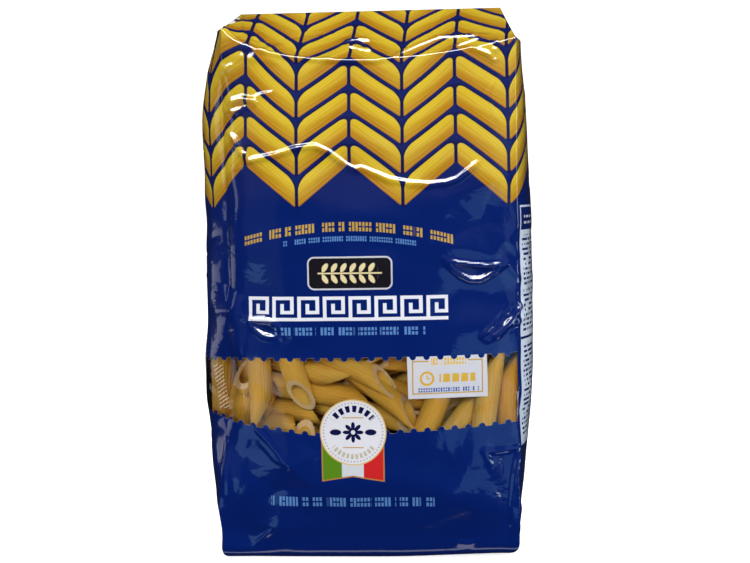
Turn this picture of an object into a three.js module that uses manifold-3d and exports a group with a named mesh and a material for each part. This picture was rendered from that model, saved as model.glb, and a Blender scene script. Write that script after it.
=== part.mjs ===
// A standing one-pound packet of penne: a side-gusseted film bag, filled until its walls bulge, with a
// sloping top whose seal is folded down behind, and a window band through which the penne show.
// Millimetres, +Z up, the front panel faces -Y. The origin is the middle of the flat base.
import * as THREE from "three";
import { mergeVertices } from "three/addons/utils/BufferGeometryUtils.js";
import Module from "manifold-3d";

const { clamp, degToRad, lerp, smoothstep } = THREE.MathUtils;

// Bag: widths run from fold to fold across the front panel, depths from front fold to back fold.
const TOTAL_HEIGHT = 195;
const SHOULDER_HEIGHT = 181.5;
const BASE_WIDTH = 106;
const BASE_DEPTH = 52;
const BODY_WIDTH = 109.5;
const BODY_DEPTH = 60;
const SHOULDER_WIDTH = 107;
const SHOULDER_DEPTH = 47;
const RIDGE_WIDTH = 94;
const RIDGE_THICKNESS = 2.4;
const RIDGE_OFFSET = 1;
const RIDGE_SHIFT = 2;
const LEFT_TUCK = 3;
const BASE_EDGE_RADIUS = 5;
const PANEL_BULGE = 3;
const SIDE_BULGE = 5;
const SHOULDER_SIDE_BULGE = 2.5;
const GUSSET_TUCK = 9;
const LEFT_FOLD_ROUNDING = 3.5;
const RIGHT_FOLD_ROUNDING = 2;
const ROUNDING_ACROSS = 7;
const ROUNDING_BACK = 3.5;
const ROUNDED_FROM = 60;
const SHARP_AT_SHOULDER = 0.7;
const FULL_FROM = 32;
const SIDES_FULL_FROM = 72;
const SIDES_FULL_TO = 92;
const NARROW_FROM = 156;
const CREASE_SAG = 6.5;

// Soft dents pressed into the front panel and its folds: place, half-size and depth. At a fold a dent also
// draws the fold in sideways.
const FOLD_SHARE = 0.7;
const FOLD_SPREAD = 6;
const DENTS = [
  { x: -35, z: 31, halfWidth: 12, halfHeight: 17, depth: 2.4 },
  { x: -45, z: 11, halfWidth: 9, halfHeight: 8, depth: 2.0 },
  { x: 50, z: 28, halfWidth: 6, halfHeight: 19, depth: 2.0 },
  { x: 38, z: 96, halfWidth: 13, halfHeight: 9, depth: 1.5 },
  { x: -38, z: 92, halfWidth: 10, halfHeight: 12, depth: 1.3 },
  { x: -13, z: 138, halfWidth: 31, halfHeight: 8, depth: 1.4 },
  { x: 45, z: 166, halfWidth: 9, halfHeight: 8, depth: 1.6 },
];

// Grid of the bag's surface: steps across a panel, across a gusset, and up the bag.
const PANEL_STEPS = 24;
const GUSSET_STEPS = 8;
const ROUNDING_STEPS = 4;
const WALL_STEPS = 22;
const TOP_STEPS = 5;

// Top seal, folded down over the back slope.
const FLAP_LENGTH = 25;
const FLAP_THICKNESS = 1.2;
const FLAP_SEAT = 2.6;
const FLAP_LIFT = 4;
const SEAL_LENGTH = 11;
const SEAL_RIBS = 4;
const SEAL_RIB_HEIGHT = 0.5;

// Window band: it crosses the front, turns the left fold, and is the mouth of the pocket that holds the penne.
const WINDOW_BOTTOM = 47;
const WINDOW_TOP = 72.8;
const WINDOW_RIGHT = 52;
const POCKET_DEPTH = 16;
const POCKET_GAP = 0.35;

// Penne: a ridged tube cut off at a slant at both ends.
const TUBE_DIAMETER = 8.5;
const BORE_DIAMETER = 5.8;
const TUBE_LENGTH = 38;
const TUBE_SIDES = 14;
const CUT_SLANT = 45;
const BORE_SHOWN = 13;
const CORE_DEPTH = 8.5;

// Each shown piece by its shown end: place on the front (x, z), heading of its body from there, depth of its
// axis behind the film, lean into the bag, turn of the slanted cut (0 opens to the front), and an open bore.
const PIECES = [
  { x: -38.6, z: 52.5, heading: 87, depth: 5, lean: 0, turn: 100 },
  { x: -21, z: 60, heading: 110, depth: 5, lean: 3, turn: 0, open: true },
  { x: -9.2, z: 66.6, heading: 169, depth: 6.5, lean: 14, turn: 250 },
  { x: -1.7, z: 69.5, heading: 24, depth: 6.5, lean: 8, turn: 0, open: true },
  { x: 6, z: 62.6, heading: 157, depth: 5.2, lean: 9, turn: 10, open: true },
  { x: -2.5, z: 60.8, heading: 177, depth: 9, lean: 4, turn: 60 },
  { x: -19, z: 53.1, heading: 189, depth: 7, lean: 9, turn: 150 },
  { x: -22.7, z: 45.1, heading: 257, depth: 5.2, lean: 4, turn: 0, open: true },
  { x: -15.3, z: 54.5, heading: 349, depth: 9.5, lean: 2, turn: 180 },
  { x: -43.4, z: 65.9, heading: 231, depth: 8, lean: 30, turn: 30, open: true },
  { x: -44, z: 56.9, heading: 213, depth: 7, lean: 24, turn: 180 },
  { x: -44.9, z: 66.9, heading: 139, depth: 11, lean: 10, turn: 90 },
  { x: -32.6, z: 48.1, heading: 182, depth: 9.5, lean: 6, turn: 90 },
  { x: 14.6, z: 51.8, heading: 144, depth: 5.2, lean: 6, turn: 75, open: true },
  { x: 20.2, z: 57.2, heading: 164, depth: 10, lean: 2, turn: 180 },
  { x: 17.5, z: 39.2, heading: 69, depth: 5.4, lean: 5, turn: 90 },
  { x: 25.2, z: 40, heading: 51, depth: 8, lean: 5, turn: 90 },
  { x: 39, z: 38.8, heading: 80, depth: 6.5, lean: 2, turn: 90 },
  { x: 47.3, z: 36.8, heading: 91, depth: 5.2, lean: 0, turn: 90 },
  { x: -52, z: 78.5, heading: 264, depth: 10.5, lean: 0, turn: 90 },
  { x: -50.8, z: 44.2, heading: 79, depth: 15, lean: 0, turn: 90 },
  { x: 12.7, z: 69.3, heading: 199, depth: 11, lean: 2, turn: 200 },
  { x: 34.7, z: 68.5, heading: 175, depth: 10.5, lean: 2, turn: 180 },
];

const COLOURS = { print: 0x0b2a7c, pasta: 0xd9a83c };

const wasm = await Module();
wasm.setup();

// A closed three.js geometry as a manifold solid, and back.
function solidFrom(geometry) {
  const bare = geometry.clone();
  bare.deleteAttribute("normal");
  bare.deleteAttribute("uv");
  const merged = mergeVertices(bare, 1e-4);
  return new wasm.Manifold(
    new wasm.Mesh({
      numProp: 3,
      vertProperties: new Float32Array(merged.attributes.position.array),
      triVerts: new Uint32Array(merged.index.array),
    }),
  );
}

function geometryFrom(solid) {
  const mesh = solid.getMesh();
  const geometry = new THREE.BufferGeometry();
  geometry.setAttribute("position", new THREE.BufferAttribute(mesh.vertProperties, 3));
  geometry.setIndex(new THREE.BufferAttribute(mesh.triVerts, 1));
  geometry.computeVertexNormals();
  return geometry;
}

// Half-width and half-depth of the bag from fold to fold, and how far its side walls stand out, at one height.
function section(z) {
  const full = smoothstep(z, 0, FULL_FROM);
  const narrow = smoothstep(z, NARROW_FROM, SHOULDER_HEIGHT);
  const sidesFull = smoothstep(z, BASE_EDGE_RADIUS, SIDES_FULL_FROM);
  const sidesEase = smoothstep(z, SIDES_FULL_TO, SHOULDER_HEIGHT);
  return {
    width: lerp(lerp(BASE_WIDTH, BODY_WIDTH, full), SHOULDER_WIDTH, narrow) / 2,
    depth: lerp(lerp(BASE_DEPTH, BODY_DEPTH, full), SHOULDER_DEPTH, narrow) / 2,
    panel: PANEL_BULGE * full * (1 - 0.5 * narrow),
    side: lerp(SIDE_BULGE * sidesFull, SHOULDER_SIDE_BULGE, sidesEase),
  };
}

// The same above the shoulder, where the two panels lean together and the gussets tuck in between them.
function topSection(rise) {
  const foot = section(SHOULDER_HEIGHT);
  return {
    width: lerp(foot.width, RIDGE_WIDTH / 2, rise),
    depth: lerp(foot.depth, RIDGE_THICKNESS / 2, rise),
    panel: foot.panel * (1 - rise) ** 2,
    side: foot.side * (1 - rise) - GUSSET_TUCK * Math.sin(Math.PI * rise),
  };
}

// Height, inset and section of one ring of the grid, counted from the base up.
function ring(step) {
  if (step <= ROUNDING_STEPS) {
    const angle = ((Math.PI / 2) * step) / ROUNDING_STEPS;
    const z = BASE_EDGE_RADIUS * (1 - Math.cos(angle));
    return { z, inset: BASE_EDGE_RADIUS * (1 - Math.sin(angle)), sizes: section(z), rise: 0 };
  }
  const wallStep = step - ROUNDING_STEPS;
  if (wallStep <= WALL_STEPS) {
    const z = lerp(BASE_EDGE_RADIUS, SHOULDER_HEIGHT, wallStep / WALL_STEPS);
    return { z, inset: 0, sizes: section(z), rise: 0 };
  }
  const rise = (wallStep - WALL_STEPS) / TOP_STEPS;
  return { z: lerp(SHOULDER_HEIGHT, TOTAL_HEIGHT, rise), inset: 0, sizes: topSection(rise), rise };
}

// The front fold of the top sags between its corners.
function creaseSag(across, z, rise) {
  const near = smoothstep(z, SHOULDER_HEIGHT - 30, SHOULDER_HEIGHT) * (1 - rise);
  return -CREASE_SAG * near * (1 - across * across);
}

function dentAt(x, z) {
  let depth = 0;
  for (const dent of DENTS) {
    const away = ((x - dent.x) / dent.halfWidth) ** 2 + ((z - dent.z) / dent.halfHeight) ** 2;
    depth += dent.depth * Math.exp(-away);
  }
  return depth;
}

// How far a fold is rounded off by what fills the bag, across the front or back and across a side.
function foldRounding(across, back, z) {
  const most = across < 0 ? LEFT_FOLD_ROUNDING : RIGHT_FOLD_ROUNDING;
  const near = Math.abs(across) ** ROUNDING_ACROSS * Math.abs(back) ** ROUNDING_BACK;
  const sharp = SHARP_AT_SHOULDER * smoothstep(z, NARROW_FROM, SHOULDER_HEIGHT);
  return most * near * smoothstep(z, 0, ROUNDED_FROM) * (1 - sharp);
}

// The bag as a box whose grid is bent to the filled film; shrink draws it in evenly, for what lies inside.
function bagGeometry(shrink) {
  const steps = ROUNDING_STEPS + WALL_STEPS + TOP_STEPS;
  const box = new THREE.BoxGeometry(2, 2, steps, PANEL_STEPS, GUSSET_STEPS, steps);
  const points = box.attributes.position;
  for (let i = 0; i < points.count; i += 1) {
    const across = clamp(points.getX(i), -1, 1);
    const back = clamp(points.getY(i), -1, 1);
    const { z, inset, sizes, rise } = ring(Math.round(points.getZ(i) + steps / 2));
    const width = sizes.width - inset - shrink + sizes.side * (1 - back * back);
    const depth = sizes.depth - Math.min(inset + shrink, sizes.depth - 0.5) + sizes.panel * (1 - across * across);
    const front = clamp(-back, 0, 1);
    const dent = dentAt(across * width, z) * front * (1 - rise);
    const rounding = foldRounding(across, back, z) * (1 - rise);
    const tuck = LEFT_TUCK * smoothstep(z, NARROW_FROM, SHOULDER_HEIGHT) * clamp(-across, 0, 1) ** 3 * (1 - rise);
    const foldPull = FOLD_SHARE * dent * across ** (FOLD_SPREAD - 1);
    const x = across * width - foldPull - Math.sign(across) * rounding + tuck + RIDGE_SHIFT * rise;
    const y = back * depth + RIDGE_OFFSET * rise + dent - Math.sign(back) * rounding;
    const lifted = clamp(z + creaseSag(across, z, rise) * front, shrink, TOTAL_HEIGHT - shrink);
    points.setXYZ(i, x, y, lifted);
  }
  return box;
}

// The folded top seal seen from the side, laid along the back slope, with crimped ribs at its free end.
function flapSolid() {
  const foot = section(SHOULDER_HEIGHT);
  const backSlope = Math.atan2(TOTAL_HEIGHT - SHOULDER_HEIGHT, foot.depth - RIDGE_OFFSET);
  const slope = backSlope - degToRad(FLAP_LIFT);
  const side = new THREE.Shape();
  side.moveTo(0, -FLAP_SEAT);
  side.lineTo(FLAP_LENGTH, -FLAP_SEAT);
  side.lineTo(FLAP_LENGTH, FLAP_THICKNESS);
  const pitch = SEAL_LENGTH / SEAL_RIBS;
  for (let rib = 0; rib < SEAL_RIBS; rib += 1) {
    const start = FLAP_LENGTH - rib * pitch;
    side.lineTo(start - pitch / 2, FLAP_THICKNESS + SEAL_RIB_HEIGHT);
    side.lineTo(start - pitch, FLAP_THICKNESS);
  }
  side.lineTo(0, FLAP_THICKNESS * 0.6);
  side.closePath();
  const flap = new THREE.ExtrudeGeometry(side, { depth: RIDGE_WIDTH - 1, bevelEnabled: false });
  flap.translate(0, 0, -(RIDGE_WIDTH - 1) / 2);
  // The profile's x runs down the slope and its y stands off it.
  const down = new THREE.Vector3(0, Math.cos(slope), -Math.sin(slope));
  const off = new THREE.Vector3(0, Math.sin(slope), Math.cos(slope));
  const along = new THREE.Vector3().crossVectors(down, off);
  const place = new THREE.Matrix4().makeBasis(down, off, along);
  place.setPosition(RIDGE_SHIFT, RIDGE_OFFSET, TOTAL_HEIGHT - FLAP_THICKNESS);
  return solidFrom(flap.applyMatrix4(place));
}

// The room behind the window: open to the front and to the left, with a flat back.
function pocketSolid(gap) {
  const reach = BODY_WIDTH;
  const right = WINDOW_RIGHT - gap;
  const back = -BODY_DEPTH / 2 - PANEL_BULGE + POCKET_DEPTH - gap;
  const height = WINDOW_TOP - WINDOW_BOTTOM - 2 * gap;
  const pocket = new THREE.BoxGeometry(reach + right, reach + back, height);
  pocket.translate((right - reach) / 2, (back - reach) / 2, (WINDOW_BOTTOM + WINDOW_TOP) / 2);
  return solidFrom(pocket);
}

// A cylinder from 0 to length along +Y, both ends cut at the same slant, its long side where +Z points.
function slantedCylinder(diameter, length, sides) {
  const tube = new THREE.CylinderGeometry(diameter / 2, diameter / 2, length, sides);
  tube.translate(0, length / 2, 0);
  const points = tube.attributes.position;
  for (let i = 0; i < points.count; i += 1) {
    points.setY(i, points.getY(i) - points.getZ(i) * Math.tan(degToRad(CUT_SLANT)));
  }
  return tube;
}

// From a piece's own frame (axis +Y, the shown end at the origin) to its place in the bag.
function placeOf(piece) {
  const heading = degToRad(piece.heading);
  const lean = degToRad(piece.lean);
  const axis = new THREE.Vector3(
    Math.cos(heading) * Math.cos(lean),
    Math.sin(lean),
    Math.sin(heading) * Math.cos(lean),
  );
  const inward = new THREE.Vector3(0, 1, 0);
  const long = inward.sub(axis.clone().multiplyScalar(axis.y)).normalize();
  long.applyAxisAngle(axis, degToRad(piece.turn));
  const third = new THREE.Vector3().crossVectors(axis, long);
  const front = -BODY_DEPTH / 2 - PANEL_BULGE * (1 - (piece.x / (BODY_WIDTH / 2)) ** 2);
  return new THREE.Matrix4()
    .makeBasis(third, axis, long)
    .setPosition(piece.x, front + piece.depth, piece.z);
}

function penneHeap() {
  let heap = solidFrom(bagGeometry(CORE_DEPTH));
  for (const piece of PIECES) {
    const tube = slantedCylinder(TUBE_DIAMETER, TUBE_LENGTH, TUBE_SIDES);
    heap = heap.add(solidFrom(tube.applyMatrix4(placeOf(piece))));
  }
  heap = heap.intersect(pocketSolid(POCKET_GAP)).intersect(solidFrom(bagGeometry(POCKET_GAP)));
  for (const piece of PIECES.filter((one) => one.open)) {
    const bore = slantedCylinder(BORE_DIAMETER, BORE_SHOWN + 1, TUBE_SIDES - 4).translate(0, -1, 0);
    heap = heap.subtract(solidFrom(bore.applyMatrix4(placeOf(piece))));
  }
  // Scraps that the pocket's walls cut off are dropped.
  return heap.decompose().sort((a, b) => b.volume() - a.volume())[0];
}

function filmBag() {
  return solidFrom(bagGeometry(0)).add(flapSolid()).subtract(pocketSolid(0));
}

function named(name, solid, material) {
  const mesh = new THREE.Mesh(geometryFrom(solid), new THREE.MeshStandardMaterial(material));
  mesh.name = name;
  return mesh;
}

const packet = new THREE.Group();
packet.add(named("film_bag", filmBag(), { color: COLOURS.print, roughness: 0.2, metalness: 0 }));
packet.add(named("penne", penneHeap(), { color: COLOURS.pasta, roughness: 0.6, metalness: 0 }));

export default packet;
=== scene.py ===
"""A sealed film packet of penne on a pale floor, in metres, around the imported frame."""
import math

import bmesh
import bpy
import numpy as np
from mathutils import Matrix, Vector


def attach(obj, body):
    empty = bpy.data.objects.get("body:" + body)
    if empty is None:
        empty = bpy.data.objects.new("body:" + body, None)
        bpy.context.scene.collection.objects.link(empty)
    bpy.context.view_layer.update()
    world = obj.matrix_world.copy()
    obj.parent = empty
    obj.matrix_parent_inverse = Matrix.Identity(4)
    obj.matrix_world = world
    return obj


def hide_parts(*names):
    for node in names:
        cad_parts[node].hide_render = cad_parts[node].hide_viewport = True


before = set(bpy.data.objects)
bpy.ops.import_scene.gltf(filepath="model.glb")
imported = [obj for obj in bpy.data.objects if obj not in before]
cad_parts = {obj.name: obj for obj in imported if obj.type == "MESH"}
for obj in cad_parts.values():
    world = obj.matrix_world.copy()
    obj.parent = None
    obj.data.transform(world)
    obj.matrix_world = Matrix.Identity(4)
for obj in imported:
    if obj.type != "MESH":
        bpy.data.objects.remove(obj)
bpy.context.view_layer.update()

MM = 0.001
BODY = "root"

# The packet's main sizes, in mm, as in the part's source.
SHOULDER_HEIGHT = 181.5
TOTAL_HEIGHT = 195.0
BASE_EDGE_RADIUS = 5.0
RIDGE_WIDTH = 94.0
RIDGE_THICKNESS = 2.4
RIDGE_OFFSET = 1.0
RIDGE_SHIFT = 2.0
BODY_WIDTH = 109.5
BODY_DEPTH = 60.0
PANEL_BULGE = 3.0
WINDOW_BOTTOM = 46.0
WINDOW_TOP = 72.0

# The film laid flat: u runs round the packet from the middle of the front, v runs up it.
PANEL_HALF = 55.0
GUSSET = 60.0
ROUND_HALF = 2 * PANEL_HALF + GUSSET
BASE_REACH = 26.0
SLOPE_LENGTH = 28.0
RIDGE_PLACE = SHOULDER_HEIGHT + SLOPE_LENGTH
FILM_TOP = RIDGE_PLACE + 1.2


def eased(value, low, high):
    """0 below low, 1 above high, and a smooth step between them."""
    part = np.clip((value - low) / (high - low), 0, 1)
    return part * part * (3 - 2 * part)


def between(low, high, part):
    return low + (high - low) * part


# The film's form


def section(height):
    """Half width, half depth, panel bulge and side bulge of the packet at a height."""
    full = eased(height, 0, 32)
    narrow = eased(height, 156, SHOULDER_HEIGHT)
    lean = eased(height, 128, SHOULDER_HEIGHT + 6)
    width = between(between(106, BODY_WIDTH, full), 107, narrow) / 2
    depth = between(between(52, BODY_DEPTH, full), 47, lean) / 2
    panel = PANEL_BULGE * full * (1 - 0.5 * eased(height, 138, SHOULDER_HEIGHT + 4))
    side = between(5 * eased(height, 5, 72), 2.5, eased(height, 92, SHOULDER_HEIGHT))
    return width, depth, panel, side


# Broad hollows in the front: x, z, half width, half height, depth.
HOLLOWS = [
    (-35, 31, 12, 17, 2.4),
    (-45, 11, 9, 8, 2.0),
    (50, 28, 6, 19, 2.0),
    (38, 96, 13, 9, 1.5),
    (-38, 92, 10, 12, 0.6),
    (-13, 138, 31, 8, 1.4),
]


def film_form(u, v):
    """The smooth form of the film, in mm, for places u and v on it laid flat."""
    off_middle = np.abs(u)
    across = np.where(
        off_middle < PANEL_HALF,
        off_middle / PANEL_HALF,
        np.where(off_middle > PANEL_HALF + GUSSET, (ROUND_HALF - off_middle) / PANEL_HALF, 1.0),
    ) * np.sign(u)
    back = np.clip(-1 + 2 * (off_middle - PANEL_HALF) / GUSSET, -1, 1)
    turn = np.clip(v / BASE_EDGE_RADIUS, 0, 1) * math.pi / 2
    wall = np.clip(v, BASE_EDGE_RADIUS, SHOULDER_HEIGHT)
    height = np.where(v < BASE_EDGE_RADIUS, BASE_EDGE_RADIUS * (1 - np.cos(turn)), wall)
    inset = BASE_EDGE_RADIUS * (1 - np.sin(turn))
    rise = np.clip((v - SHOULDER_HEIGHT) / SLOPE_LENGTH, 0, 1)
    width, depth, panel, side = section(height)
    width = between(width, RIDGE_WIDTH / 2, rise)
    depth = between(depth, RIDGE_THICKNESS / 2, rise)
    panel = panel * (1 - rise) ** 2
    side = side * (1 - rise) - 9 * np.sin(math.pi * rise)
    height = between(height, TOTAL_HEIGHT, rise)
    width = width - inset * np.where(across > 0, 0.85, 0.5) + side * (1 - back**2)
    depth = depth - inset + panel * (1 - across**2)
    front = np.clip(-back, 0, 1)
    hollow = 0
    for x, z, half_width, half_height, deep in HOLLOWS:
        lobe = np.exp(-(((across * 54 - x) / half_width) ** 2) - ((height - z) / half_height) ** 2)
        hollow = hollow + deep * lobe * front * (1 - rise)
    left = across < 0
    standing = eased(height, 0, 60) * (1 - 0.7 * eased(height, 156, SHOULDER_HEIGHT)) * (1 - rise)
    folded = np.where(
        left & (back < 0),
        7.0 * np.abs(across) ** 5 * np.abs(back) ** 2.2,
        np.where(left, 3.5, 2.0) * np.abs(across) ** 7 * np.abs(back) ** 3.5,
    ) * standing
    tuck = 3 * eased(height, 156, SHOULDER_HEIGHT) * np.clip(-across, 0, 1) ** 3 * (1 - rise)
    x = across * width - 0.7 * hollow * across**5 - np.sign(across) * folded + tuck
    low_bulge = eased(height, 5, 22) * (1 - eased(height, 60, 86))
    high_bulge = 1.1 * eased(height, 118, 158) * (1 - eased(height, 168, 182))
    bulge = 1.9 * (low_bulge + high_bulge) * np.clip(1 - ((back + 0.5) / 0.75) ** 2, 0, 1)
    x = x - bulge * np.clip(-across, 0, 1) ** 4 + RIDGE_SHIFT * rise
    y = back * depth + RIDGE_OFFSET * rise + hollow - np.sign(back) * folded
    sag = 6.5 * eased(height, 134, SHOULDER_HEIGHT + 6) / eased(SHOULDER_HEIGHT, 134, SHOULDER_HEIGHT + 6)
    sag = sag * (1 - rise) * (1 - across**2) * front
    left_shoulder = 5.5 * eased(height, 150, SHOULDER_HEIGHT) * (1 - rise) * np.clip(-across, 0, 1) ** 5
    right_foot = 1.2 * eased(across, 0.1, 1) * front * (1 - eased(height, 0, 30))
    z = height - sag + left_shoulder + right_foot
    under = np.clip(-v / BASE_REACH, 0, 1)
    x = x * (1 - 0.36 * under)
    y = y * (1 - under)
    z = z + 1.3 * eased(under, 0.1, 0.5)
    close = np.clip((v - RIDGE_PLACE) / (FILM_TOP - RIDGE_PLACE), 0, 1)
    y = between(y, RIDGE_OFFSET, close)
    return np.stack([x, y, z], axis=-1)


# Thin folded creases of the film: height of the crest, half width, and its points.
CREASES = [
    (
        0.9,
        1.9,
        [
            (-47.3, 151.7), (-44.4, 149.3), (-41.6, 144), (-38.8, 141.1), (-34, 142.1), (-29.3, 143.2),
            (-22.2, 145.6), (-15.8, 146.4), (-11.2, 144), (-4.9, 138.7), (-2, 137.3), (-0.2, 137.9),
            (2.1, 136.9), (9, 133.8), (16, 132.3), (22.9, 131.8), (28.7, 132.3), (32.2, 133.4),
            (36.8, 136.8), (40.9, 140.7),
        ],
    ),
    (0.6, 1.6, [(-50, 185), (-42, 183), (-35, 182.3), (-25, 181.3), (-10, 181), (5, 180.6), (11, 181.4)]),
    (0.8, 1.6, [(11, 181.4), (13.6, 184), (20, 188), (27, 191.5), (36, 190), (44, 188)]),
    (0.5, 1.2, [(-44.1, 138.5), (-42.4, 138.2), (-38.8, 141.1)]),
    (0.5, 1.2, [(-41.6, 144), (-39.9, 144), (-38.1, 142.6)]),
    (
        0.9,
        1.9,
        [(-47.9, 158.8), (-44.9, 161.6), (-41.4, 163.2), (-38.5, 163.3), (-36.7, 162.8), (-40.3, 160.4)],
    ),
    (0.9, 1.9, [(-40.3, 160.4), (-43.9, 158.5), (-46.8, 157.7), (-47.9, 158.8)]),
    (0.45, 1.4, [(-38.5, 163.3), (-34.3, 165.8), (-28.4, 168)]),
    (0.6, 1.4, [(-50, 168.4), (-46.7, 171), (-44.3, 173.3), (-42.3, 175)]),
    (0.4, 1.2, [(-12.8, 151.5), (-9.8, 153.8)]),
    (0.9, 1.6, [(-42, 87), (-38.4, 86.3), (-34.3, 86.5), (-31.3, 85.7), (-29.6, 83.9), (-28.5, 80.3)]),
    (0.9, 1.6, [(-28.5, 80.3), (-31.5, 80.1), (-35.6, 81), (-38.5, 83.4), (-42, 87)]),
    (0.95, 1.7, [(49.7, 91), (48.5, 87.7), (46.2, 84.8), (43.2, 82.5), (40.3, 79.8), (42, 78.4)]),
    (0.9, 1.7, [(42, 78.4), (45.5, 80.1), (48.5, 83), (50.8, 85.9), (53.1, 88.8), (58, 92)]),
    (0.5, 1.5, [(48.5, 83), (54, 84.5), (62, 88)]),
    (0.95, 1.5, [(27.2, 106.7), (31.8, 105.2), (36.5, 104.5), (42.3, 103.9), (49, 104.6)]),
    (
        0.95,
        1.5,
        [(49, 104.6), (44.6, 101.8), (39.9, 99.3), (36.4, 99.3), (33, 101), (30.1, 103.7), (27.2, 106.7)],
    ),
    (0.55, 3.0, [(-49.8, 46), (-50.5, 34), (-49.7, 20)]),
    (0.8, 1.8, [(55, 22), (56, 14), (57, 6)]),
    (0.8, 2.2, [(53.4, 40.6), (51.3, 29.9), (50.2, 19.3), (50.8, 12.3), (49.8, 7)]),
    (0.5, 1.6, [(53.4, 40.7), (47, 40), (40.7, 40.1), (43.1, 33.4)]),
    (0.5, 1.6, [(39.7, 7), (35.2, 5.6), (28, 6.4)]),
    (0.8, 1.3, [(30.4, 183.8), (33.8, 184.5), (37.3, 185.8), (40.7, 187), (43, 185.2)]),
    (0.8, 1.3, [(36.1, 182.5), (39.5, 180.3), (42.9, 177.9), (45.2, 175.2), (47.5, 175.2), (46.9, 176.5)]),
    (0.7, 1.3, [(46.9, 176.5), (44.1, 177.6), (41.8, 180.3)]),
    (0.8, 1.3, [(44.1, 182.7), (45.8, 183.2), (47, 180.4), (46.4, 178.2), (44.7, 179.3), (44.1, 182.7)]),
    (0.8, 1.3, [(-7.5, 189.2), (-5.7, 191.6), (-3.4, 193), (0.6, 192.7), (5.2, 192)]),
    (0.8, 1.3, [(-5.2, 191.5), (-4.1, 189.1), (-0.6, 187.5), (2.8, 186.5), (1.7, 189.8), (-0.6, 190.2)]),
    (0.4, 1.3, [(47, 170), (43, 164), (45, 156), (49, 150)]),
    (0.45, 1.5, [(-26.2, 35.1), (-39.9, 49.6)]),
    (0.4, 1.4, [(-26.2, 35.1), (-32.1, 37.9), (-37.9, 44.3)]),
    (0.4, 1.4, [(-32.4, 12.7), (-41.7, 4.8)]),
]


# Facets of the front: how far the apex stands out or in, the apex, and the rim round it.
FACETS = [
    (2.1, (-26.2, 35.1), [(-39.9, 49.6), (-28.3, 48.9), (-16, 40), (-18, 27), (-34.1, 26.6), (-42, 33)]),
    (1.5, (-32.4, 12.7), [(-47.9, 14.2), (-38.5, 22), (-28.9, 26.6), (-17, 13), (-27, 3), (-41.7, 4.8)]),
    (1.9, (-46.6, 89.2), [(-60, 88), (-52, 99), (-41, 94), (-41, 83), (-42.9, 73), (-56, 72)]),
    (1.0, (36, 20), [(22, 30), (41, 34), (50, 16), (38, 6), (18, 12)]),
    (-1.0, (40, 119), [(26, 112), (30, 128), (46, 133), (54, 118), (44, 108)]),
    (
        -1.1,
        (39, 102.4),
        [(27.8, 105.5), (39.7, 103.9), (48.8, 103.8), (46.4, 100.8), (37.9, 98.5), (32.9, 102)],
    ),
    (-1.3, (45.5, 84.6), [(49.4, 91.2), (44.6, 85.4), (40.8, 80.3), (40.8, 77.6), (46.2, 83), (52.4, 87)]),
    (
        -1.0,
        (-33.5, 82.2),
        [(-42.7, 86), (-36.1, 85.6), (-29.2, 83.5), (-24.8, 79.9), (-28.7, 78.2), (-36, 80.4)],
    ),
]


def crest(u, v, height, half_width, points):
    """A thin rounded fold along a run of points, fading towards its two ends."""
    far = np.full(u.shape, 1e6)
    share = np.zeros(u.shape)
    steps = [math.dist(a, b) for a, b in zip(points, points[1:])]
    gone = 0.0
    for start, end, step in zip(points, points[1:], steps):
        along_u, along_v = (end[0] - start[0]) / step, (end[1] - start[1]) / step
        along = np.clip((u - start[0]) * along_u + (v - start[1]) * along_v, 0, step)
        away = np.hypot(u - start[0] - along * along_u, v - start[1] - along * along_v)
        share = np.where(away < far, (gone + along) / sum(steps), share)
        far = np.minimum(far, away)
        gone += step
    fade = np.clip(np.minimum(share, 1 - share) * sum(steps) / 4, 0.25, 1)
    return height * fade * np.cos(np.clip(far / half_width, 0, 1) * math.pi / 2) ** 2


def facet(u, v, height, apex, rim):
    """A low pyramid: straight folds run from its apex to each point of the rim."""
    raised = np.zeros(u.shape)
    for first, second in zip(rim, rim[1:] + rim[:1]):
        ax, ay = first[0] - apex[0], first[1] - apex[1]
        bx, by = second[0] - apex[0], second[1] - apex[1]
        area = ax * by - ay * bx
        to_first = ((u - apex[0]) * by - (v - apex[1]) * bx) / area
        to_second = (ax * (v - apex[1]) - ay * (u - apex[0])) / area
        inside = (to_first >= 0) & (to_second >= 0)
        raised = np.where(inside, np.maximum(raised, 1 - to_first - to_second), raised)
    return height * raised


def crinkles(u, v):
    """Small seeded creases, most of them on the top, the gussets and the bottom corners."""
    dice = np.random.default_rng(11)
    raised = np.zeros(u.shape)
    for index in range(150):
        middle_u = dice.uniform(-ROUND_HALF, ROUND_HALF)
        middle_v = dice.uniform(4, 205)
        if index % 3 == 0:
            middle_v = dice.uniform(160, 207)
        if index % 3 == 1:
            middle_u = dice.choice([-1, 1]) * dice.uniform(56, 112)
        heading = dice.uniform(0, math.pi)
        half_length = dice.uniform(5, 18)
        half_width = dice.uniform(1.2, 2.6)
        height = dice.uniform(0.1, 0.4) * dice.choice([-1, 1])
        if abs(middle_u) < 52 and middle_v < 178:
            height *= 0.2
        along = (u - middle_u) * math.cos(heading) + (v - middle_v) * math.sin(heading)
        away = (v - middle_v) * math.cos(heading) - (u - middle_u) * math.sin(heading)
        away = np.abs(away + 0.012 * along**2) / half_width
        fade = np.clip(2 - 2 * np.abs(along) / half_length, 0, 1)
        raised = raised + height * fade * np.cos(np.clip(away, 0, 1) * math.pi / 2) ** 2
    return raised


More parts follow.
